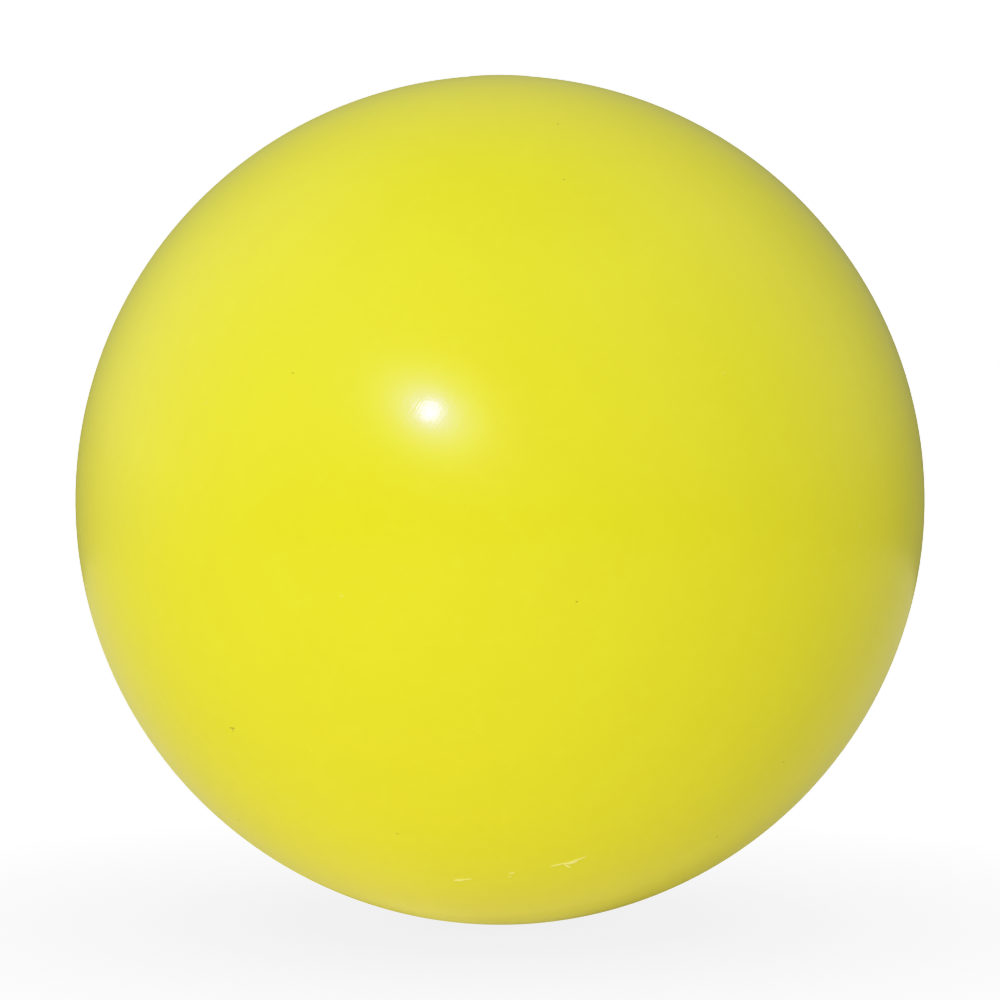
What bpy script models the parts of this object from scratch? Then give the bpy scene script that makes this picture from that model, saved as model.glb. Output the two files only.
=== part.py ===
"""An 8.5 inch (216 mm) inflated rubber playground ball.

It is modelled as the layers that its wall is built up from, the needle valve that it is pumped up
through, and the patch that balances the valve. Every piece is turned round +Z, the valve's axis, and
the ball's centre is the origin. The valve is at the top. At the bottom, the ball's own weight presses
a small flat into the wall, and the ball stands on that flat.
"""

import math

import bmesh
import bpy

# Driving dimensions, in metres.
BALL_RADIUS = 0.108
CONTACT_RADIUS = 0.009
LAYER_GAP = 0.0003
FIT_GAP = 0.0003

# The valve's housing and its insert are both measured down from the valve's flat face.
FACE_RECESS = 0.0002
NECK_RADIUS = 0.005
STEM_RADIUS = 0.0042
HOUSING_LENGTH = 0.0172
HEAD_RADIUS = 0.0034
HEAD_DEPTH = 0.0013
SHANK_RADIUS = 0.0023
INSERT_LENGTH = 0.0142
NEEDLE_RADIUS = 0.0008
SLIT_WIDTH = 0.0003

PATCH_THICKNESS = 0.0018

# Facets: how many round the valve's axis, and how many rows from pole to pole.
SEGMENTS = 40
ROWS = 20
ROW_ANGLE = math.pi / ROWS

# The wall's layers from the outside in: name, wall thickness, colour and roughness.
LAYERS = (
    ("outer_cover", 0.0010, (0.80, 0.77, 0.02), 0.15),
    ("inner_ply", 0.0005, (0.42, 0.27, 0.12), 0.60),
    ("nylon_winding", 0.0003, (0.75, 0.73, 0.66), 0.80),
    ("bladder", 0.0006, (0.02, 0.02, 0.02), 0.55),
)
BLACK_RUBBER = (0.02, 0.02, 0.02)
SHARP_EDGE = math.radians(35.0)
MERGE_DISTANCE = 1e-7

# The opening for the valve's neck, and how far the pressed flat lies inside the sphere.
OPENING_RADIUS = NECK_RADIUS + FIT_GAP
FLAT_SINK = BALL_RADIUS - math.sqrt(BALL_RADIUS**2 - CONTACT_RADIUS**2)

# The radius just inside the bladder, where the valve's flange and the balance patch lie against it.
LINING_RADIUS = BALL_RADIUS - sum(wall + LAYER_GAP for _, wall, _, _ in LAYERS)

# The valve's flat face, just under the cover's edge round the opening.
FACE_HEIGHT = math.sqrt(BALL_RADIUS**2 - OPENING_RADIUS**2) - FACE_RECESS


def clear_scene():
    for obj in list(bpy.data.objects):
        bpy.data.objects.remove(obj)


def make_material(name, colour, roughness):
    """A plain, non-metallic Principled material."""
    material = bpy.data.materials.new(name)
    material.use_nodes = True
    shader = material.node_tree.nodes["Principled BSDF"]
    shader.inputs["Base Color"].default_value = (*colour, 1.0)
    shader.inputs["Roughness"].default_value = roughness
    shader.inputs["Metallic"].default_value = 0.0
    return material


def add_empty(name, height, parent=None):
    """An empty on the valve's axis."""
    empty = bpy.data.objects.new(name, None)
    bpy.context.scene.collection.objects.link(empty)
    empty.location = (0.0, 0.0, height)
    empty.parent = parent
    return empty


def add_turned(name, outline, parent, material):
    """Turns an outline of (distance from the axis, height) points round +Z into one closed solid.

    An outline that starts and ends on the axis is closed by the turning, and any other is a ring.
    """
    bm = bmesh.new()
    corners = [bm.verts.new((across, 0.0, up)) for across, up in outline]
    edges = [bm.edges.new(pair) for pair in zip(corners, corners[1:])]
    if outline[0][0] > 0.0:
        edges.append(bm.edges.new((corners[-1], corners[0])))
    bmesh.ops.spin(
        bm,
        geom=corners + edges,
        cent=(0.0, 0.0, 0.0),
        axis=(0.0, 0.0, 1.0),
        angle=2.0 * math.pi,
        steps=SEGMENTS,
        use_merge=True,
    )
    bmesh.ops.remove_doubles(bm, verts=bm.verts, dist=MERGE_DISTANCE)
    bmesh.ops.recalc_face_normals(bm, faces=bm.faces)
    mesh = bpy.data.meshes.new(name)
    bm.to_mesh(mesh)
    bm.free()
    mesh.shade_smooth()
    mesh.set_sharp_from_angle(angle=SHARP_EDGE)
    mesh.materials.append(material)
    obj = bpy.data.objects.new(name, mesh)
    bpy.context.scene.collection.objects.link(obj)
    obj.parent = parent
    return obj


def flat_corner(radius):
    """Where the flat at the bottom meets a sphere of this radius."""
    return math.sqrt(radius**2 - (radius - FLAT_SINK) ** 2), FLAT_SINK - radius


def row_point(radius, row):
    """The point on a sphere's outline at the end of this row of facets, counted from the top."""
    polar = row * ROW_ANGLE
    return radius * math.sin(polar), radius * math.cos(polar)


def sphere_side(radius):
    """A sphere's outline from the edge of the valve opening down to the middle of the flat."""
    edge = (OPENING_RADIUS, math.sqrt(radius**2 - OPENING_RADIUS**2))
    rows = [row_point(radius, row) for row in range(1, ROWS)]
    return [edge, *rows, flat_corner(radius), (0.0, FLAT_SINK - radius)]


def add_wall_layers(parent):
    """The cover, its inner ply, the winding and the bladder, each a sphere inside the one before."""
    outer = BALL_RADIUS
    for name, wall, colour, roughness in LAYERS:
        inner = outer - wall
        outline = sphere_side(inner)[::-1] + sphere_side(outer)
        material = make_material(name, colour, roughness)
        add_turned(name, outline, parent, material)
        outer = inner - LAYER_GAP


def below_face(point):
    """A point of the ball's outline, measured from the valve's face."""
    return point[0], point[1] - FACE_HEIGHT


def arc(centre, radius, start, end, steps=3):
    """Points along an arc of an outline. The angles are in degrees, with 0 pointing outwards and 90 up."""
    angles = [math.radians(start + (end - start) * step / steps) for step in range(steps + 1)]
    return [
        (centre[0] + radius * math.cos(angle), centre[1] + radius * math.sin(angle))
        for angle in angles
    ]


def add_valve_housing(parent):
    """The neck that fills the opening, the flange against the bladder, and the stem that hangs inside."""
    chamfer = 0.0003
    flange_rim = 0.0006
    fillet = 0.0020
    nose = 0.0015
    end_wall = 0.0015
    exit_radius = 0.0012
    mouth_radius = HEAD_RADIUS + FIT_GAP
    ledge = -HEAD_DEPTH - FIT_GAP
    bore_radius = SHANK_RADIUS + FIT_GAP
    bore_end = end_wall - HOUSING_LENGTH
    flange_root = below_face((NECK_RADIUS, math.sqrt(LINING_RADIUS**2 - NECK_RADIUS**2)))
    flange_edge = below_face(row_point(LINING_RADIUS, 1))
    underside = flange_edge[1] - flange_rim
    outline = [
        (mouth_radius, 0.0),
        (NECK_RADIUS - chamfer, 0.0),
        (NECK_RADIUS, -chamfer),
        flange_root,
        flange_edge,
        (flange_edge[0], underside),
        *arc((STEM_RADIUS + fillet, underside - fillet), fillet, 90.0, 180.0),
        *arc((STEM_RADIUS - nose, nose - HOUSING_LENGTH), nose, 0.0, -90.0),
        (exit_radius, -HOUSING_LENGTH),
        (exit_radius, bore_end),
        (bore_radius, bore_end),
        (bore_radius, ledge),
        (mouth_radius, ledge),
    ]
    material = make_material("valve_housing", BLACK_RUBBER, 0.50)
    add_turned("valve_housing", outline, parent, material)


def shank_grooves():
    """Shallow grooves round the insert's shank, with the ribs that grip the bore between them."""
    first = -0.0030
    pitch = 0.0030
    width = 0.0015
    depth = 0.0003
    points = []
    for groove in range(3):
        top = first - groove * pitch
        points += [
            (SHANK_RADIUS, top),
            (SHANK_RADIUS - depth, top - depth),
            (SHANK_RADIUS - depth, top - width + depth),
            (SHANK_RADIUS, top - width),
        ]
    return points


def add_valve_insert(parent):
    """The needle plug: a head on the housing's ledge, a grooved shank and a channel that ends in a slit."""
    bevel = 0.0002
    nose = 0.0010
    funnel_radius = 0.0016
    funnel_depth = 0.0008
    tip_wall = 0.0017
    slit_overrun = 0.0004
    channel_end = tip_wall - INSERT_LENGTH
    outline = [
        (0.0, channel_end),
        (NEEDLE_RADIUS, channel_end + NEEDLE_RADIUS / 2.0),
        (NEEDLE_RADIUS, -funnel_depth),
        (funnel_radius, 0.0),
        (HEAD_RADIUS - bevel, 0.0),
        (HEAD_RADIUS, -bevel),
        (HEAD_RADIUS, -HEAD_DEPTH),
        (SHANK_RADIUS, -HEAD_DEPTH),
        *shank_grooves(),
        *arc((SHANK_RADIUS - nose, nose - INSERT_LENGTH), nose, 0.0, -90.0),
        (0.0, -INSERT_LENGTH),
    ]
    material = make_material("valve_insert", BLACK_RUBBER, 0.40)
    insert = add_turned("valve_insert", outline, parent, material)
    cut = insert.modifiers.new("slit", "BOOLEAN")
    cut.operation = "DIFFERENCE"
    cut.object = add_slit_cutter(
        insert, bottom=-INSERT_LENGTH - slit_overrun, top=channel_end + slit_overrun
    )


def add_slit_cutter(parent, bottom, top):
    """A thin blade as wide as the needle channel, through the insert's tip."""
    mesh = bpy.data.meshes.new("slit_cutter")
    bm = bmesh.new()
    bmesh.ops.create_cube(bm, size=1.0)
    bmesh.ops.scale(bm, verts=bm.verts, vec=(2.0 * NEEDLE_RADIUS, SLIT_WIDTH, top - bottom))
    bmesh.ops.translate(bm, verts=bm.verts, vec=(0.0, 0.0, (top + bottom) / 2))
    bm.to_mesh(mesh)
    bm.free()
    cutter = bpy.data.objects.new("slit_cutter", mesh)
    bpy.context.scene.collection.objects.link(cutter)
    cutter.parent = parent
    cutter.hide_render = True
    cutter.display_type = "WIRE"
    return cutter


def add_balance_patch(parent):
    """A disc with a thin rim on the bladder's floor, opposite the valve."""
    rim_width = 0.0012
    rim_height = 0.0006
    floor = FLAT_SINK - LINING_RADIUS
    flat_radius = flat_corner(LINING_RADIUS)[0]
    edge_radius, edge_height = row_point(LINING_RADIUS, ROWS - 1)
    slope = (edge_height - floor) / (edge_radius - flat_radius)
    shoulder_radius = edge_radius - rim_width
    shoulder = floor + slope * (shoulder_radius - flat_radius) + PATCH_THICKNESS
    outline = [
        (0.0, floor + PATCH_THICKNESS),
        (flat_radius, floor + PATCH_THICKNESS),
        (shoulder_radius, shoulder),
        (edge_radius, edge_height + rim_height),
        (edge_radius, edge_height),
        (flat_radius, floor),
        (0.0, floor),
    ]
    material = make_material("balance_patch", BLACK_RUBBER, 0.60)
    add_turned("balance_patch", outline, parent, material)


def main():
    clear_scene()
    ball = add_empty("playground_ball", 0.0)
    valve = add_empty("valve", FACE_HEIGHT, ball)
    add_wall_layers(ball)
    add_valve_housing(valve)
    add_valve_insert(valve)
    add_balance_patch(ball)


main()
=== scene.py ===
"""The looks of an inflated rubber playground ball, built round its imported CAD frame.

Everything is in metres in the frame of the CAD part: the ball's centre is the origin, and +Z runs out
through the valve. Places on the cover are given as a longitude, which runs to the right from the side
that faces the camera, and a latitude, which runs up from the ball's middle, both in degrees.
"""

import math
import random

import bmesh
import bpy
import numpy as np
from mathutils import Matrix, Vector


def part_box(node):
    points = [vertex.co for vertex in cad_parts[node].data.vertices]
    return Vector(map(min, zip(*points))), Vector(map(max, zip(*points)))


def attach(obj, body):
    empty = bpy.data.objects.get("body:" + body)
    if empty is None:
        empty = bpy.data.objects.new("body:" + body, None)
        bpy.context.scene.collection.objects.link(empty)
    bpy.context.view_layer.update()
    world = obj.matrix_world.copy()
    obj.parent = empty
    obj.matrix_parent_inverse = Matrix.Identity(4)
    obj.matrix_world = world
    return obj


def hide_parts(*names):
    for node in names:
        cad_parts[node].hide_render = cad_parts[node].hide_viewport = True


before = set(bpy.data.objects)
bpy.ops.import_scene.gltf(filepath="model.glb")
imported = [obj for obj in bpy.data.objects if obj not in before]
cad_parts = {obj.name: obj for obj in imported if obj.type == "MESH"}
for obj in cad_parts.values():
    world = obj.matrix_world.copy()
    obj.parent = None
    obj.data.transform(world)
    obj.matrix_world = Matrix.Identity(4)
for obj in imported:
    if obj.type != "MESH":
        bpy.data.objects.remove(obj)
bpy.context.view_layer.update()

MM = 0.001
GAP = 0.3 * MM

# Sizes of the CAD part, read from its frame.
BALL_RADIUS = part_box("outer_cover")[1].x
FLOOR_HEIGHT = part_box("outer_cover")[0].z
PLY_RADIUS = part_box("inner_ply")[1].x
WINDING_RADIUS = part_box("nylon_winding")[1].x
BLADDER_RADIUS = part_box("bladder")[1].x
BLADDER_WALL = 0.6 * MM
LINING_RADIUS = BLADDER_RADIUS - BLADDER_WALL - GAP
OPENING_RADIUS = math.sqrt(BALL_RADIUS**2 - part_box("outer_cover")[1].z ** 2)
SINK = BALL_RADIUS + FLOOR_HEIGHT
VALVE_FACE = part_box("valve_housing")[1].z
HOUSING_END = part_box("valve_housing")[0].z
FLANGE_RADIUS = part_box("valve_housing")[1].x
INSERT_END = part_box("valve_insert")[0].z
HEAD_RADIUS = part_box("valve_insert")[1].x
PATCH_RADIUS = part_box("balance_patch")[1].x
PATCH_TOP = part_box("balance_patch")[1].z

# How finely the cover is turned, before the faces round each mark are split.
COVER_SEGMENTS = 160
COVER_ROWS = 160

# The camera stands a metre off, just above the ball's middle, and the ball fills this share of its view.
CAMERA_DISTANCE = 1.0
CAMERA_ELEVATION = 3.0
BALL_SHARE = 0.8497

# Scuffs low on the front, where the glossy skin is rubbed through to paler rubber: the two ends of each
# stroke and its width in millimetres.
SCUFFS = (
    ((-10.25, -55.25), (-8.0, -55.0), 1.10),
    ((-8.0, -55.0), (-6.25, -54.75), 0.50),
    ((2.0, -53.25), (3.0, -53.0), 0.65),
    ((1.75, -54.25), (2.5, -54.0), 0.40),
    ((10.5, -51.5), (13.5, -50.75), 0.60),
    ((13.25, -51.0), (17.0, -49.5), 0.60),
    ((14.0, -51.0), (15.5, -50.5), 1.15),
    ((13.0, -51.0), (14.75, -52.0), 0.60),
)

# A crumb of dirt stuck to the front of the cover, in the same form.
CRUMB = (
    ((-42.5, -28.0), (-41.5, -28.0), 0.50),
    ((-42.0, -28.0), (-42.0, -28.5), 0.40),
)

# Specks of dirt on the front: the place of each and its width in millimetres.
DIRT_SPECKS = (
    ((15.0, 60.0), 0.60),
    ((12.0, 47.5), 0.45),
    ((-18.5, -44.5), 0.50),
    ((-58.5, -45.5), 0.60),
    ((9.5, -9.5), 0.40),
    ((-28.0, 18.5), 0.35),
    ((46.5, -47.5), 0.50),
    ((50.0, -34.0), 0.50),
)

# Specks of paler rubber and dust, in the same form.
PALE_SPECKS = (
    ((-20.0, -9.0), 0.50),
    ((53.0, -1.5), 0.50),
    ((33.5, -42.5), 0.45),
    ((-41.5, 14.5), 0.45),
    ((30.5, 18.5), 0.40),
    ((-58.0, -1.0), 0.50),
)


def direction(longitude, latitude):
    """The unit vector from the ball's centre to a place on it."""
    lon, lat = math.radians(longitude), math.radians(latitude)
    return Vector((math.cos(lat) * math.sin(lon), -math.cos(lat) * math.cos(lon), math.sin(lat)))


# --- Mesh helpers -------------------------------------------------------------------------------


def arc(centre, radius, start, end, steps=8):
    """Points along an arc of an outline. The angles are in degrees, with 0 pointing outwards and 90 up."""
    angles = [math.radians(start + (end - start) * step / steps) for step in range(steps + 1)]
    return [
        (centre[0] + radius * math.cos(angle), centre[1] + radius * math.sin(angle))
        for angle in angles
    ]


def crowded(count, times, share):
    """Numbers from 0 to 1 that crowd together round each whole number of times 0 to 1."""
    steps = np.linspace(0.0, 1.0, count)
    turn = 2.0 * math.pi * times
    return steps - share * np.sin(turn * steps) / turn


def turned_shape(outline, angles):
    """Points and faces of an outline of (distance from +Z, height) points turned through these angles.

    The outline runs down the outside. One that starts and ends on the axis is closed by the turning,
    and any other is a ring.
    """
    segments = len(angles)
    points, rings = [], []
    for across, up in outline:
        on_axis = across < 1e-9
        rings.append(range(len(points), len(points) + (1 if on_axis else segments)))
        for angle in angles[:1] if on_axis else angles:
            points.append((across * math.cos(angle), across * math.sin(angle), up))
    pairs = list(zip(rings, rings[1:]))
    if len(rings[0]) > 1:
        pairs.append((rings[-1], rings[0]))
    faces = []
    for upper, lower in pairs:
        for step in range(segments):
            after = (step + 1) % segments
            corners = (
                upper[step % len(upper)],
                lower[step % len(lower)],
                lower[after % len(lower)],
                upper[after % len(upper)],
            )
            faces.append(list(dict.fromkeys(corners)))
    return points, faces


def turned(name, outline, angles):
    """A piece that is one outline turned through these angles."""
    return new_piece(name, *turned_shape(outline, angles))


def even_angles(segments):
    return [2.0 * math.pi * step / segments for step in range(segments)]


def new_piece(name, points, faces):
    mesh = bpy.data.meshes.new(name)
    mesh.from_pydata(points, [], faces)
    mesh.shade_smooth()
    obj = bpy.data.objects.new(name, mesh)
    bpy.context.scene.collection.objects.link(obj)
    return obj


def settle(radius, up):
    """Lifts a height on a layer to the flat that the ball rests on, with a soft bend round its edge."""
    bend = 0.06 * MM
    floor = SINK - radius
    over = up - floor
    return floor + 0.5 * (over + math.sqrt(over * over + bend * bend))


def layer_side(radius, opening, rows):
    """A layer's outline from its valve opening down to the middle of the flat, finest at both ends."""
    first = math.asin(opening / radius)
    side = []
    for share in crowded(rows, 1, 0.8):
        polar = first + (math.pi - first) * share
        side.append((max(radius * math.sin(polar), 0.0), settle(radius, radius * math.cos(polar))))
    side[-1] = (0.0, side[-1][1])
    return side


def points_of(obj):
    points = np.empty(len(obj.data.vertices) * 3, np.float32)
    obj.data.vertices.foreach_get("co", points)
    return points.reshape(-1, 3).astype(float)


def set_points(obj, points):
    obj.data.vertices.foreach_set("co", points.astype(np.float32).ravel())
    obj.data.update()


def finish_piece(obj, body, node, material):
    """Gives a piece its material and its body, and lets it stand for its CAD node."""
    obj.data.materials.append(material)
    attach(obj, body)
    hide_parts(node)


# --- Marks on the cover -------------------------------------------------------------------------


def scattered(kind, count, rng):
    """Small marks spread over the sides and the back, so that the ball is worn all round."""
    front = 75.0
    marks = []
    while len(marks) < count:
        longitude = rng.uniform(-180.0, 180.0)
        latitude = math.degrees(math.asin(rng.uniform(-0.9, 0.95)))
        size = rng.uniform(0.35, 0.7)
        run = rng.uniform(0.1, 0.5) if kind != "scuff" else rng.uniform(1.0, 3.5)
        slant = rng.uniform(-0.6, 0.6) * run
        if abs(longitude) > front:
            end = (longitude + run / math.cos(math.radians(latitude)), latitude + slant)
            marks.append(((longitude, latitude), end, size))
    return marks


def speck(place, width):
    """A stroke so short that it is a speck."""
    longitude, latitude = place
    half_run = 0.15
    return (longitude - half_run, latitude), (longitude + half_run, latitude), width


def all_marks():
    """Every mark on the cover by kind, each with its ends as points on the sphere and its width."""
    rng = random.Random(7)
    dirt = [*CRUMB, *(speck(*mark) for mark in DIRT_SPECKS)]
    pale = [speck(*mark) for mark in PALE_SPECKS]
    kinds = {"scuff": (SCUFFS, 9), "grime": (dirt, 16), "nib": (pale, 12)}
    marks = []
    for kind, (placed, extra) in kinds.items():
        for start, end, width in [*placed, *scattered(kind, extra, rng)]:
            ends = [np.array(direction(*place)) * BALL_RADIUS for place in (start, end)]
            marks.append((kind, ends[0], ends[1], width * MM))
    return marks


def stroke_distance(points, start, end):
    """How far each point is from a stroke, and how far along the stroke its nearest place is, 0 to 1."""
    run = end - start
    along = np.clip(((points - start) @ run) / max(run @ run, 1e-12), 0.0, 1.0)
    return np.linalg.norm(points - start - along[:, None] * run, axis=1), along


def refine_round(obj, marks, levels):
    """Splits the faces round each mark again and again, so that the mark can be shaped."""
    mesh = bmesh.new()
    mesh.from_mesh(obj.data)
    cell = 2.0 * math.pi * BALL_RADIUS / COVER_SEGMENTS
    for _ in range(levels):
        mesh.faces.ensure_lookup_table()
        middles = np.array([face.calc_center_median() for face in mesh.faces])
        near = np.zeros(len(middles), bool)
        for _, start, end, width in marks:
            near |= stroke_distance(middles, start, end)[0] < width + 1.1 * cell
        edges = {edge for index in np.flatnonzero(near) for edge in mesh.faces[index].edges}
        bmesh.ops.subdivide_edges(mesh, edges=list(edges), cuts=1, use_grid_fill=True)
        cell /= 2.0
    bmesh.ops.triangulate(mesh, faces=[face for face in mesh.faces if len(face.verts) > 4])
    mesh.to_mesh(obj.data)
    mesh.free()


def wear(points, marks):
    """Each point's share of every kind of mark, and how far the marks lift it.

    A stroke is widest halfway along and tapers to just over half of that at its ends.
    """
    heights = {"scuff": 0.09 * MM, "grime": 0.02 * MM, "nib": 0.03 * MM}
    shares = {kind: np.zeros(len(points)) for kind in heights}
    lift = np.zeros(len(points))
    for kind, start, end, width in marks:
        far, along = stroke_distance(points, start, end)
        half = 0.5 * width * (0.55 + 0.45 * np.sin(math.pi * along))
        share = np.clip(1.25 - far / half, 0.0, 1.0)
        shares[kind] = np.maximum(shares[kind], share)
        lift += heights[kind] * share
    return shares, lift


# --- Pieces -------------------------------------------------------------------------------------


def cover_outline():
    """The cover in section, from the inside of its floor, up, over the rim of the valve opening and down."""
    rim = 0.45 * MM
    boss_height = 0.12 * MM
    boss_radius = 8.5 * MM
    boss_slope = 0.4 * MM
    inside = layer_side(PLY_RADIUS + GAP, OPENING_RADIUS, 60)[::-1]
    outside = []
    for across, up in layer_side(BALL_RADIUS, OPENING_RADIUS + rim, COVER_ROWS):
        fade = 1.0 / (1.0 + math.exp((across - boss_radius) / boss_slope))
        outside.append((across, up + boss_height * fade * (up > 0.0)))
    centre = (outside[0][0], outside[0][1] - rim)
    return inside + arc(centre, rim, 180.0, 90.0)[:-1] + outside


def make_cover():
    """The cover, with every mark shaped into it and its round part shaded as a true sphere."""
    outer_skin = 0.3 * MM
    round_height = 0.99
    cover = turned("ball_cover", cover_outline(), even_angles(COVER_SEGMENTS))
    marks = all_marks()
    refine_round(cover, marks, 5)
    points = points_of(cover)
    radii = np.linalg.norm(points, axis=1)
    # The round part is the outside, clear of the valve's boss and of the flat.
    round_part = (radii > BALL_RADIUS - outer_skin) & (np.abs(points[:, 2] / radii) < round_height)
    points[round_part] *= (BALL_RADIUS / radii[round_part])[:, None]
    shares, lift = wear(points, marks)
    lift[~round_part] = 0.0
    lifted = points * (1.0 + lift / BALL_RADIUS)[:, None]
    set_points(cover, lifted)
    for kind, share in shares.items():
        attribute = cover.data.attributes.new(kind, "FLOAT", "POINT")
        attribute.data.foreach_set("value", (share * round_part).astype(np.float32))
    # Clear of every mark, the shading is that of a true sphere.
    unmarked = round_part & (np.abs(lift) < 0.1e-6)
    normals = np.array([normal.vector for normal in cover.data.vertex_normals])
    normals[unmarked] = points[unmarked] / BALL_RADIUS
    cover.data.normals_split_custom_set_from_vertices(normals)
    return cover


def make_ply():
    """The second ply of rubber, a plain shell under the cover."""
    inside = layer_side(WINDING_RADIUS + GAP, OPENING_RADIUS, 48)[::-1]
    outside = layer_side(PLY_RADIUS, OPENING_RADIUS, 96)
    return turned("second_ply", inside + outside, even_angles(128))


def thread_ring(normal, radius, half_width, half_height, steps):
    """One turn of flat thread round the ball, square to this normal: points and faces."""
    aslant = Vector((0.3, 0.5, 0.8))
    side = normal.cross(aslant).normalized()
    across = normal.cross(side)
    points, faces = [], []
    for step in range(steps):
        angle = 2.0 * math.pi * step / steps
        out = side * math.cos(angle) + across * math.sin(angle)
        middle = out * radius
        for edge in (
            normal * half_width,
            out * half_height,
            normal * -half_width,
            out * -half_height,
        ):
            point = middle + edge
            point.z = settle(radius, point.z)
            points.append(point)
        here, there = 4 * step, 4 * ((step + 1) % steps)
        for corner in range(4):
            other = (corner + 1) % 4
            faces.append((here + corner, here + other, there + other, there + corner))
    return points, faces


def make_winding():
    """Turn after turn of nylon thread, each on its own slant and clear of the valve, on a film of latex."""
    rng = random.Random(11)
    turns, steps = 230, 96
    half_width, half_height = 0.34 * MM, 0.07 * MM
    steepest = math.cos(math.radians(86.0))
    # How far under the layer's outside a thread's middle runs, in millimetres.
    shallow, deep = 0.08, 0.22
    inside = layer_side(BLADDER_RADIUS + GAP, OPENING_RADIUS, 32)[::-1]
    outside = layer_side(WINDING_RADIUS - deep * MM, OPENING_RADIUS, 64)
    points, faces = turned_shape(inside + outside, even_angles(steps))
    film_size = len(points)
    for turn in range(turns):
        tilt = rng.uniform(steepest, 1.0)
        heading = turn * math.pi * (3.0 - math.sqrt(5.0))
        flat = math.sqrt(1.0 - tilt * tilt)
        normal = Vector((flat * math.cos(heading), flat * math.sin(heading), tilt))
        radius = WINDING_RADIUS - rng.uniform(shallow, deep) * MM
        ring, sides = thread_ring(normal, radius, half_width, half_height, steps)
        faces += [tuple(len(points) + corner for corner in side) for side in sides]
        points += ring
    winding = new_piece("thread_winding", points, faces)
    film = winding.data.attributes.new("film", "FLOAT", "POINT")
    film.data.foreach_set("value", [float(place < film_size) for place in range(len(points))])
    return winding


def make_bladder():
    """The bladder, with the four lapped seams that join its gores standing a little proud."""
    seams = 4
    seam_height = 0.15 * MM
    seam_half_width = 2.2 * MM
    outer_skin = 0.45 * MM
    clear_of_valve = 1.3 * OPENING_RADIUS
    inside = layer_side(BLADDER_RADIUS - BLADDER_WALL, OPENING_RADIUS, 48)[::-1]
    outside = layer_side(BLADDER_RADIUS, OPENING_RADIUS, 96)
    angles = [2.0 * math.pi * share for share in crowded(193, seams, 0.85)[:-1]]
    bladder = turned("butyl_bladder", inside + outside, angles)
    points = points_of(bladder)
    radii = np.linalg.norm(points, axis=1)
    across = np.hypot(points[:, 0], points[:, 1])
    heading = np.arctan2(points[:, 1], points[:, 0])
    pitch = 2.0 * math.pi / seams
    aside = across * np.abs(heading - pitch * np.round(heading / pitch))
    proud = seam_height * np.exp(-((aside / seam_half_width) ** 4))
    outer = (radii > BLADDER_RADIUS - outer_skin) & (across > clear_of_valve)
    points[outer] *= (1.0 + proud[outer] / BLADDER_RADIUS)[:, None]
    set_points(bladder, points)
    return bladder


def make_housing():
    """The valve's moulded body, with every edge rounded as it comes out of its mould."""
    neck_radius = OPENING_RADIUS - GAP
    mouth_radius = HEAD_RADIUS + GAP
    edge = 0.30 * MM
    lip = 0.20 * MM
    ledge = VALVE_FACE - 1.6 * MM
    bore_radius = 2.6 * MM
    bore_end = HOUSING_END + 1.5 * MM
    exit_radius = 1.2 * MM
    stem_radius = 4.2 * MM
    fillet = 2.0 * MM
    nose = 1.5 * MM
    rim = 0.3 * MM
    flange = []
    first, last = math.asin(neck_radius / LINING_RADIUS), math.asin(FLANGE_RADIUS / LINING_RADIUS)
    for share in np.linspace(0.0, 1.0, 16)[:-1]:
        polar = first + (last - first) * share
        flange.append((LINING_RADIUS * math.sin(polar), LINING_RADIUS * math.cos(polar)))
    edge_height = math.sqrt(LINING_RADIUS**2 - FLANGE_RADIUS**2) - rim
    underside = edge_height - rim
    outline = [
        *arc((mouth_radius + lip, VALVE_FACE - lip), lip, 180.0, 90.0, 5),
        *arc((neck_radius - edge, VALVE_FACE - edge), edge, 90.0, 0.0, 6),
        *flange,
        *arc((FLANGE_RADIUS - rim, edge_height), rim, 60.0, -90.0, 8),
        *arc((stem_radius + fillet, underside - fillet), fillet, 90.0, 180.0, 10),
        *arc((stem_radius - nose, HOUSING_END + nose), nose, 0.0, -90.0, 10),
        (exit_radius, HOUSING_END),
        (exit_radius, bore_end),
        (bore_radius, bore_end),
        (bore_radius, ledge),
        (mouth_radius, ledge),
    ]
    housing = turned("valve_body", outline, even_angles(96))
    housing.data.set_sharp_from_angle(angle=math.radians(40.0))
    return housing


def groove_rows(shank_radius, top, pitch, count):
    """The rounded grooves round the insert's shank, each half a pitch long."""
    depth = 0.3 * MM
    steps = 12
    rows = []
    for groove in range(count):
        start = top - groove * pitch
        for step in range(steps + 1):
            share = step / steps
            dip = 0.5 - 0.5 * math.cos(2.0 * math.pi * share)
            rows.append((shank_radius - depth * dip**0.5, start - 0.5 * pitch * share))
    return rows


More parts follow.
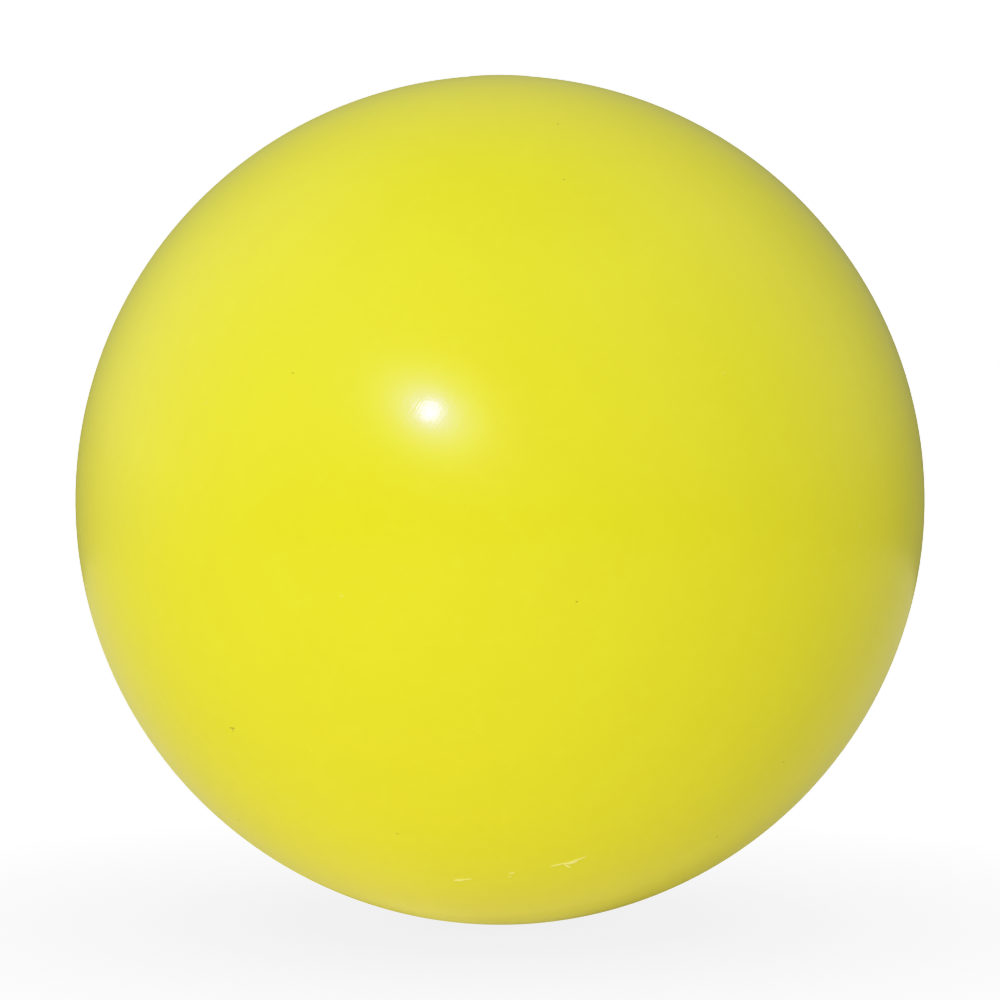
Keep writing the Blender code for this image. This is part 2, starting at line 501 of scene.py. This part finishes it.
def make_insert():
    """The needle plug: a flat head with a dished needle hole, a grooved shank and a slit tip."""
    shank_radius = 2.3 * MM
    channel_radius = 0.8 * MM
    funnel_radius = 1.6 * MM
    funnel_depth = 0.8 * MM
    bevel = 0.2 * MM
    under_head = VALVE_FACE - 1.3 * MM
    groove_pitch = 3.0 * MM
    nose = 1.0 * MM
    channel_end = INSERT_END + 1.7 * MM
    funnel = []
    for share in np.linspace(0.0, 1.0, 9):
        ease = share * share * (3.0 - 2.0 * share)
        across = channel_radius + (funnel_radius - channel_radius) * share
        funnel.append((across, VALVE_FACE - funnel_depth * (1.0 - ease)))
    outline = [
        (0.0, channel_end),
        (channel_radius, channel_end + 0.5 * channel_radius),
        *funnel,
        *arc((HEAD_RADIUS - bevel, VALVE_FACE - bevel), bevel, 90.0, 0.0, 5),
        (HEAD_RADIUS, under_head),
        (shank_radius, under_head),
        *groove_rows(shank_radius, VALVE_FACE - groove_pitch, groove_pitch, 3),
        *arc((shank_radius - nose, INSERT_END + nose), nose, 0.0, -90.0, 8),
        (0.0, INSERT_END),
    ]
    insert = turned("needle_plug", outline, even_angles(96))
    cut_slit(insert, 2.0 * channel_radius, INSERT_END - 0.4 * MM, channel_end + 0.5 * MM)
    insert.data.shade_smooth()
    insert.data.set_sharp_from_angle(angle=math.radians(40.0))
    return insert


def cut_slit(obj, width, bottom, top):
    """Cuts the slit through the plug's tip, which a needle pushes open."""
    gap = 0.2 * MM
    blade = bpy.data.meshes.new("blade")
    mesh = bmesh.new()
    bmesh.ops.create_cube(mesh, size=1.0)
    bmesh.ops.scale(mesh, verts=mesh.verts, vec=(width, gap, top - bottom))
    bmesh.ops.translate(mesh, verts=mesh.verts, vec=(0.0, 0.0, 0.5 * (top + bottom)))
    mesh.to_mesh(blade)
    mesh.free()
    cutter = bpy.data.objects.new("blade", blade)
    bpy.context.scene.collection.objects.link(cutter)
    cut = obj.modifiers.new("slit", "BOOLEAN")
    cut.operation = "DIFFERENCE"
    cut.object = cutter
    bpy.context.view_layer.update()
    graph = bpy.context.evaluated_depsgraph_get()
    obj.data = bpy.data.meshes.new_from_object(obj.evaluated_get(graph))
    obj.modifiers.clear()
    bpy.data.objects.remove(cutter)


def make_patch():
    """The balance patch, with a thin rounded rim and shallow rings pressed into it."""
    rings, ring_depth = 4, 0.12 * MM
    rim = 0.3 * MM
    rim_rise = 0.7 * MM
    rim_share = 0.12
    thickness = PATCH_TOP - (SINK - LINING_RADIUS) - rim_rise
    under, over = [], []
    for share in np.linspace(0.0, 1.0, 40):
        across = share * (PATCH_RADIUS - rim)
        base = settle(LINING_RADIUS, -math.sqrt(LINING_RADIUS**2 - across**2))
        under.append((across, base))
        wave = ring_depth * (0.5 + 0.5 * math.cos(2.0 * math.pi * rings * share))
        fade = min(1.0, (1.0 - share) / rim_share)
        over.append((across, base + 2.0 * rim + (thickness - 2.0 * rim - wave) * fade**0.5))
    edge = arc((PATCH_RADIUS - rim, under[-1][1] + rim), rim, 90.0, -90.0, 6)
    return turned("balance_disc", over[:-1] + edge + under[:-1][::-1], even_angles(96))


# --- Materials ----------------------------------------------------------------------------------


class Nodes:
    """The node tree of a material or a world, with short calls for the nodes used again and again."""

    def __init__(self, owner, coordinates="Object"):
        owner.use_nodes = True
        self.owner = owner
        self.tree = owner.node_tree
        self.place = self.add("ShaderNodeTexCoord").outputs[coordinates]

    def add(self, kind, **settings):
        node = self.tree.nodes.new(kind)
        for key, value in settings.items():
            setattr(node, key, value)
        return node

    def feed(self, socket, value):
        """Links an output to a socket, or sets the socket to a plain value."""
        if isinstance(value, bpy.types.NodeSocket):
            self.tree.links.new(value, socket)
        elif hasattr(value, "__len__") and len(value) == 3 and socket.type == "RGBA":
            socket.default_value = (*value, 1.0)
        else:
            socket.default_value = value

    def set(self, name, value):
        """Feeds an input of a material's surface shader."""
        self.feed(self.tree.nodes["Principled BSDF"].inputs[name], value)

    def noise(self, size, detail=2.0, roughness=0.5, place=None):
        """Noise with features of this size in metres, from 0 to 1 round 0.5."""
        node = self.add("ShaderNodeTexNoise")
        self.feed(node.inputs["Vector"], place or self.place)
        node.inputs["Scale"].default_value = 1.0 / size
        node.inputs["Detail"].default_value = detail
        node.inputs["Roughness"].default_value = roughness
        return node.outputs["Fac"]

    def stretched(self, turn, sizes):
        """The place, turned and then squeezed, so that noise of size 1 has these sizes along the axes."""
        node = self.add("ShaderNodeMapping", vector_type="TEXTURE")
        self.feed(node.inputs["Vector"], self.place)
        node.inputs["Rotation"].default_value = turn
        node.inputs["Scale"].default_value = sizes
        return node.outputs["Vector"]

    def ramp(self, value, low, high, start=0.0, end=1.0, smooth=False):
        """start below low, end above high and even in between."""
        node = self.add("ShaderNodeMapRange")
        node.interpolation_type = "SMOOTHSTEP" if smooth else "LINEAR"
        self.feed(node.inputs["Value"], value)
        for socket, number in zip(("From Min", "From Max", "To Min", "To Max"), (low, high, start, end)):
            self.feed(node.inputs[socket], number)
        return node.outputs["Result"]

    def math(self, operation, first, second=0.0):
        node = self.add("ShaderNodeMath", operation=operation)
        self.feed(node.inputs[0], first)
        self.feed(node.inputs[1], second)
        return node.outputs[0]

    def vector(self, operation, first, second=(0.0, 0.0, 0.0)):
        """The dot product of two vectors as a number, or one of the operations that give a vector."""
        node = self.add("ShaderNodeVectorMath", operation=operation)
        self.feed(node.inputs[0], first)
        self.feed(node.inputs[1], second)
        return node.outputs["Value" if operation == "DOT_PRODUCT" else "Vector"]

    def glows(self, toward, even, glows):
        """An even light, and on top of it glows that each fade out smoothly round their own direction."""
        total = even
        for bearing, elevation, half_width, strength in glows.values():
            nearness = self.vector("DOT_PRODUCT", toward, direction(bearing, elevation))
            edge = math.cos(math.radians(half_width))
            glow = self.ramp(nearness, edge, 1.0, 0.0, strength, smooth=True)
            total = self.math("ADD", total, glow)
        return total

    def mix(self, share, first, second):
        """Two colours mixed by a share from 0 to 1."""
        node = self.add("ShaderNodeMix", data_type="RGBA")
        self.feed(node.inputs["Factor"], share)
        self.feed(node.inputs[6], first)
        self.feed(node.inputs[7], second)
        return node.outputs[2]

    def attribute(self, name):
        return self.add("ShaderNodeAttribute", attribute_name=name).outputs["Fac"]

    def bump(self, height, distance, normal=None):
        """A normal that follows a height from 0 to 1 over this distance in metres."""
        node = self.add("ShaderNodeBump")
        node.inputs["Strength"].default_value = 1.0
        node.inputs["Distance"].default_value = distance
        self.feed(node.inputs["Height"], height)
        if normal:
            self.feed(node.inputs["Normal"], normal)
        return node.outputs["Normal"]


def cover_material():
    """Glossy yellow rubber: mottled pigment under a lacquer-smooth skin with fine polishing scratches."""
    yellow = (0.800, 0.775, 0.008)
    deep_yellow = (0.790, 0.755, 0.007)
    pale_yellow = (0.810, 0.795, 0.016)
    scuffed = (1.0, 0.97, 0.45)
    dirt = (0.34, 0.28, 0.01)
    dust = (0.90, 0.88, 0.25)
    nodes = Nodes(bpy.data.materials.new("cover_rubber"))
    colour = nodes.mix(nodes.ramp(nodes.noise(22.0 * MM, 3.0), 0.2, 0.8), yellow, deep_yellow)
    cloud = nodes.ramp(nodes.noise(4.0 * MM, 4.0, 0.6), 0.5, 1.0)
    colour = nodes.mix(cloud, colour, pale_yellow)
    scuff, grime, nib = (nodes.attribute(kind) for kind in ("scuff", "grime", "nib"))
    broken = nodes.ramp(nodes.noise(0.35 * MM, 2.0), 0.30, 0.50, 0.80, 1.0)
    scuff = nodes.math("MULTIPLY", scuff, broken)
    colour = nodes.mix(nodes.math("MULTIPLY", nib, 0.6), colour, dust)
    colour = nodes.mix(nodes.math("MULTIPLY", grime, 0.75), colour, dirt)
    colour = nodes.mix(scuff, colour, scuffed)
    nodes.set("Base Color", colour)
    nodes.set("Roughness", nodes.ramp(nodes.noise(9.0 * MM, 3.0), 0.0, 1.0, 0.28, 0.30))
    nodes.set("IOR", 1.38)
    nodes.set("Anisotropic", 0.35)
    nodes.set("Anisotropic Rotation", -30.0 / 360.0)
    nodes.set("Tangent", nodes.add("ShaderNodeTangent", direction_type="RADIAL", axis="Z").outputs[0])
    nodes.set("Coat Weight", nodes.ramp(scuff, 0.0, 0.5, 0.19, 0.03))
    nodes.set("Coat Roughness", nodes.ramp(nodes.noise(3.0 * MM, 2.0), 0.0, 1.0, 0.10, 0.19))
    grain = nodes.bump(nodes.noise(0.45 * MM, 1.0), 6.0e-6)
    scratch_size = (0.30 * MM, 12.0 * MM, 12.0 * MM)
    scratched = nodes.stretched((0.0, math.radians(30.0), 0.15), scratch_size)
    scratches = nodes.noise(1.0, 1.0, 0.5, scratched)
    polish = nodes.bump(nodes.ramp(scratches, 0.50, 0.75, smooth=True), 3.5e-6, grain)
    swell = nodes.bump(nodes.noise(5.0 * MM, 0.0), 6.0e-6, polish)
    nodes.set("Normal", swell)
    nodes.set("Coat Normal", swell)
    return nodes.owner


def rubber_material(name, colour, pale, roughness, grain, talc):
    """Moulded or calendered rubber: a fine grain, uneven gloss and a share of talc left on it."""
    nodes = Nodes(bpy.data.materials.new(name))
    streaks = nodes.ramp(nodes.noise(6.0 * MM, 4.0, 0.6), 0.35, 0.75)
    powder = nodes.ramp(nodes.noise(1.1 * MM, 5.0, 0.7), 0.45, 0.8)
    dusty = nodes.math("MULTIPLY", nodes.math("MULTIPLY", streaks, powder), talc)
    nodes.set("Base Color", nodes.mix(dusty, colour, pale))
    nodes.set("Roughness", nodes.ramp(streaks, 0.0, 1.0, roughness - 0.06, roughness + 0.08))
    fine = nodes.bump(nodes.noise(grain, 3.0, 0.6), 0.08 * grain)
    nodes.set("Normal", nodes.bump(nodes.noise(8.0 * grain, 2.0), 0.15 * grain, fine))
    return nodes.owner


def thread_material():
    """Nylon thread that was wound wet with latex: pale threads, on a browner film of the latex alone."""
    nylon = (0.78, 0.75, 0.68)
    soaked_nylon = (0.62, 0.54, 0.38)
    latex_film = (0.42, 0.30, 0.14)
    nodes = Nodes(bpy.data.materials.new("nylon_thread"))
    latex = nodes.ramp(nodes.noise(2.5 * MM, 4.0, 0.6), 0.4, 0.7)
    colour = nodes.mix(latex, nylon, soaked_nylon)
    colour = nodes.mix(nodes.math("MULTIPLY", nodes.attribute("film"), 0.7), colour, latex_film)
    nodes.set("Base Color", colour)
    nodes.set("Roughness", nodes.ramp(latex, 0.0, 1.0, 0.45, 0.7))
    nodes.set("Sheen Weight", 0.15)
    nodes.set("Normal", nodes.bump(nodes.noise(0.12 * MM, 3.0), 0.03 * MM))
    return nodes.owner


# --- Studio -------------------------------------------------------------------------------------

# The light that the picture shows as pure white, and what it shows for light just below that.
WHITE = 1.5
FILM = ((0.84, 0.84), (0.95, 0.87), (1.05, 0.88), (1.20, 0.91), (1.35, 0.95))

# The one lamp: its bearing and elevation from the ball's middle, how far off it stands, the radius of its
# round face and its power.
KEY_BEARING = -19.1
KEY_ELEVATION = 25.0
KEY_DISTANCE = 2.5
KEY_RADIUS = 0.045
KEY_WATTS = 22.0

# The soft white light all round: an even glow and broad ones on top of it. Each has a bearing to the right
# of the camera, an elevation and a half-width, all in degrees, and a strength.
EVEN_LIGHT = 0.10
GLOWS = {
    "ceiling": (0.0, 90.0, 60.0, 0.35),
    "front": (0.0, 30.0, 70.0, 0.40),
    "left": (-90.0, 20.0, 60.0, 0.65),
    "right": (80.0, 25.0, 60.0, 0.50),
    "back_left": (-130.0, 20.0, 60.0, 0.25),
    "back_right": (140.0, 30.0, 60.0, 0.20),
}

# Under the first of these two elevations the light has this share of its strength, and above the second
# all of it.
BELT_TOP = (1.5, 4.5)
BELT_SHARE = 0.8

# The round floor is pale and a little warm. To the ball it also shines faintly by itself, as if lit from
# the front and the left, with glows in the same form.
FLOOR_RADIUS = 0.8
FLOOR_COLOUR = (0.72, 0.68, 0.48)
FLOOR_EVEN = 0.15
FLOOR_GLOWS = {
    "floor_front": (0.0, 0.0, 90.0, 0.25),
    "floor_left": (-90.0, 0.0, 90.0, 0.10),
}

# The painted shade under the ball, which the camera sees in the floor's white glow: how far round it
# reaches, and the share of white that is left where it is deepest.
SHADE_REACH = 0.12
SHADE_DEEPEST = 0.6


def make_world():
    """White to the camera, and to everything else the glows, which are weaker at the horizon."""
    world = bpy.data.worlds.new("studio")
    bpy.context.scene.world = world
    nodes = Nodes(world, "Generated")
    light = nodes.glows(nodes.place, EVEN_LIGHT, GLOWS)
    rise = nodes.vector("DOT_PRODUCT", nodes.place, (0.0, 0.0, 1.0))
    low, high = (math.sin(math.radians(angle)) for angle in BELT_TOP)
    light = nodes.math("MULTIPLY", light, nodes.ramp(rise, low, high, BELT_SHARE, 1.0, smooth=True))
    seen = nodes.add("ShaderNodeLightPath").outputs["Is Camera Ray"]
    background = nodes.tree.nodes["Background"]
    nodes.feed(background.inputs["Color"], nodes.mix(seen, light, (WHITE, WHITE, WHITE)))


def make_floor():
    """A round table top: pale and a little warm to the ball, and to the camera a white glow with a painted
    shade under the ball.
    """
    mesh = bmesh.new()
    bmesh.ops.create_circle(mesh, cap_ends=True, radius=FLOOR_RADIUS, segments=128)
    data = bpy.data.meshes.new("floor")
    mesh.to_mesh(data)
    mesh.free()
    floor = bpy.data.objects.new("floor", data)
    floor.location.z = FLOOR_HEIGHT - 0.02 * MM
    bpy.context.scene.collection.objects.link(floor)
    nodes = Nodes(bpy.data.materials.new("floor"))
    toward = nodes.vector("NORMALIZE", nodes.place)
    light = nodes.mix(nodes.glows(toward, FLOOR_EVEN, FLOOR_GLOWS), (0.0, 0.0, 0.0), FLOOR_COLOUR)
    # To the camera the floor is a white glow, with a painted shade under the ball that follows the ambient
    # occlusion.
    shade = nodes.add("ShaderNodeAmbientOcclusion", samples=16)
    shade.inputs["Distance"].default_value = SHADE_REACH
    white_glow_painted_shade = nodes.ramp(shade.outputs["AO"], 0.0, 1.0, SHADE_DEEPEST * WHITE, WHITE)
    seen = nodes.add("ShaderNodeLightPath").outputs["Is Camera Ray"]
    nodes.set("Base Color", nodes.mix(seen, FLOOR_COLOUR, (0.0, 0.0, 0.0)))
    nodes.set("Roughness", 0.9)
    nodes.set("Specular IOR Level", 0.0)
    nodes.set("Emission Color", nodes.mix(seen, light, white_glow_painted_shade))
    nodes.set("Emission Strength", 1.0)
    floor.data.materials.append(nodes.owner)


def make_key():
    """The one lamp, whose round face makes the highlight."""
    lamp = bpy.data.lights.new("key", "AREA")
    lamp.shape = "DISK"
    lamp.size = 2.0 * KEY_RADIUS
    lamp.energy = KEY_WATTS
    key = bpy.data.objects.new("key", lamp)
    bpy.context.scene.collection.objects.link(key)
    toward = direction(KEY_BEARING, KEY_ELEVATION)
    key.location = toward * KEY_DISTANCE
    key.rotation_euler = toward.to_track_quat("Z", "Y").to_euler()
    key.visible_camera = False


def make_camera():
    """The camera, which faces the ball and has a lens that frames it."""
    data = bpy.data.cameras.new("camera")
    half_ball = math.asin(BALL_RADIUS / CAMERA_DISTANCE)
    half_view = math.atan(math.tan(half_ball) / BALL_SHARE)
    data.lens = 0.5 * data.sensor_width / math.tan(half_view)
    camera = bpy.data.objects.new("camera", data)
    bpy.context.scene.collection.objects.link(camera)
    toward = direction(0.0, CAMERA_ELEVATION)
    camera.location = toward * CAMERA_DISTANCE
    camera.rotation_euler = toward.to_track_quat("Z", "Y").to_euler()
    bpy.context.scene.camera = camera


def set_film():
    """The picture's response to light: true up to the bright yellow, then a soft shoulder up to white."""
    view = bpy.context.scene.view_settings
    view.view_transform = "Standard"
    view.use_curve_mapping = True
    film = view.curve_mapping
    film.white_level = (WHITE, WHITE, WHITE)
    curve = film.curves[3]
    curve.points[0].location = (0.0, 0.0)
    curve.points[1].location = (1.0, 1.0)
    for light, shown in FILM:
        curve.points.new(light / WHITE, shown).handle_type = "VECTOR"
    film.update()


# --- The scene ----------------------------------------------------------------------------------

BLACK = (0.018, 0.018, 0.019)
PLUG_BLACK = (0.024, 0.024, 0.025)
TALC = (0.30, 0.30, 0.29)
BROWN = (0.42, 0.27, 0.12)
DUSTY_BROWN = (0.62, 0.52, 0.38)

finish_piece(make_cover(), "ball", "outer_cover", cover_material())
finish_piece(
    make_ply(),
    "ball",
    "inner_ply",
    rubber_material("ply_rubber", BROWN, DUSTY_BROWN, 0.62, 0.30 * MM, 0.5),
)
finish_piece(make_winding(), "ball", "nylon_winding", thread_material())
finish_piece(
    make_bladder(),
    "ball",
    "bladder",
    rubber_material("bladder_rubber", BLACK, TALC, 0.58, 0.25 * MM, 0.7),
)
finish_piece(
    make_housing(),
    "ball",
    "valve_housing",
    rubber_material("valve_rubber", BLACK, TALC, 0.48, 0.12 * MM, 0.25),
)
finish_piece(
    make_insert(),
    "valve_core",
    "valve_insert",
    rubber_material("insert_rubber", PLUG_BLACK, TALC, 0.40, 0.10 * MM, 0.15),
)
finish_piece(
    make_patch(),
    "ball",
    "balance_patch",
    rubber_material("patch_rubber", BLACK, TALC, 0.60, 0.20 * MM, 0.6),
)

make_world()
make_floor()
make_key()
make_camera()
set_film()
